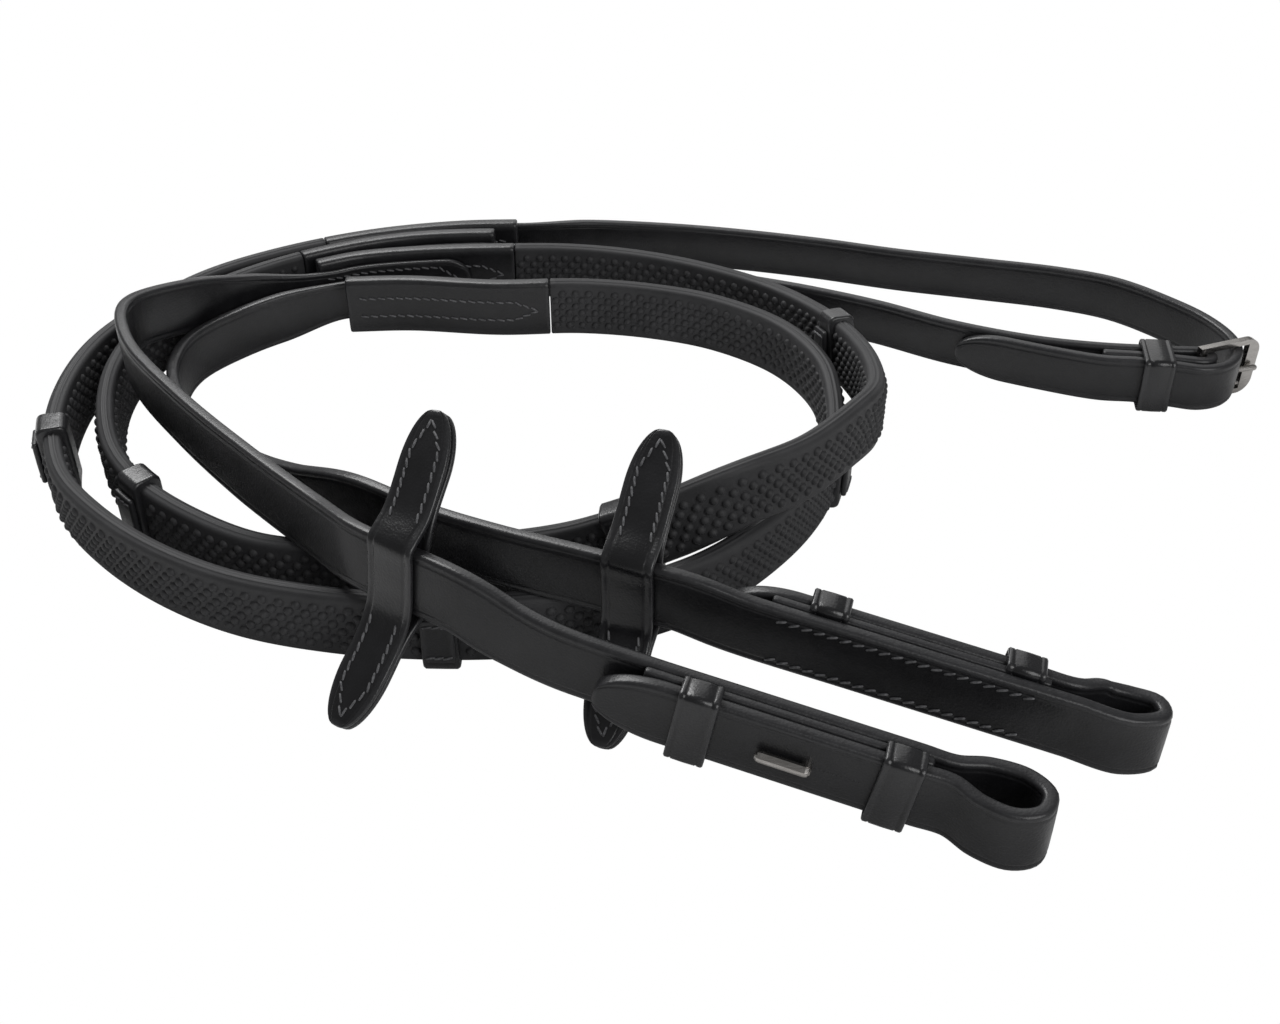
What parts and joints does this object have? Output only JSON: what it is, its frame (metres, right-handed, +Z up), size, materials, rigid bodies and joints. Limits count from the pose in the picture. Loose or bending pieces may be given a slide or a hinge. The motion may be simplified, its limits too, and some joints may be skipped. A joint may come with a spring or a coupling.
{
  "type": "riding reins",
  "caption": "Bridle reins lying coiled: hook stud billets at the bit, leather rein stops, pimpled rubber grips with hand stops, and hand straps joined by a buckle.",
  "frame": {"origin": "middle of the coil's footprint, on the ground it lies on", "axes": "+X towards the buckle end, +Z up, +Y away from the billets"},
  "size_m": [0.381, 0.292, 0.0662],
  "materials": {
    "leather": "satin black, creased edges",
    "grip_rubber": "matte dark grey, pimpled",
    "webbing": "woven, hidden inside the grip",
    "steel": "polished stainless steel"
  },
  "bodies": {
    "reins": {"left_bit_chape": "leather", "left_rubber_grip": "grip_rubber", "left_hand_chape": "leather", "left_grip_core": "webbing", "left_hand_stop_1_band": "leather", "left_hand_stop_1_tab": "leather", "left_hand_stop_2_band": "leather", "left_hand_stop_2_tab": "leather", "left_hand_stop_3_band": "leather", "left_hand_stop_3_tab": "leather", "right_bit_chape": "leather", "right_rubber_grip": "grip_rubber", "right_hand_chape": "leather", "right_grip_core": "webbing", "right_hand_stop_1_band": "leather", "right_hand_stop_1_tab": "leather", "right_hand_stop_2_band": "leather", "right_hand_stop_2_tab": "leather", "right_hand_stop_3_band": "leather", "right_hand_stop_3_tab": "leather", "left_hook_stud": "steel", "left_bit_strap": "leather", "left_billet_keeper_1": "leather", "left_billet_keeper_2": "leather", "left_billet_lining": "leather", "right_hook_stud": "steel", "right_bit_strap": "leather", "right_billet_keeper_1": "leather", "right_billet_keeper_2": "leather", "right_billet_lining": "leather", "left_hand_strap": "leather", "right_hand_strap": "leather", "buckle_keeper": "leather"},
    "left_rein_stop": {"left_rein_stop_back": "leather", "left_rein_stop_front": "leather"},
    "right_rein_stop": {"right_rein_stop_back": "leather", "right_rein_stop_front": "leather"},
    "buckle_frame": {"buckle_frame": "steel"},
    "buckle_tongue": {"buckle_tongue": "steel"}
  },
  "joints": [
    {"name": "left_rein_stop_slide", "type": "slide", "parent": "reins", "child": "left_rein_stop", "axis": [-0.8275, 0.5615, 0], "range_m": [-0.004, 0.004]},
    {"name": "right_rein_stop_slide", "type": "slide", "parent": "reins", "child": "right_rein_stop", "axis": [-0.9285, 0.3714, 0], "range_m": [-0.004, 0.004]},
    {"name": "buckle_frame_swing", "type": "hinge", "parent": "reins", "child": "buckle_frame", "pos_m": [0.16943, 0.04829, 0.01028], "axis": [0, 0, 1], "range_deg": [-1.5, 1.5]},
    {"name": "buckle_tongue_swing", "type": "hinge", "parent": "buckle_frame", "child": "buckle_tongue", "pos_m": [0.16943, 0.04829, 0.01028], "axis": [0, 0, -1], "range_deg": [0, 2.5]}
  ]
}
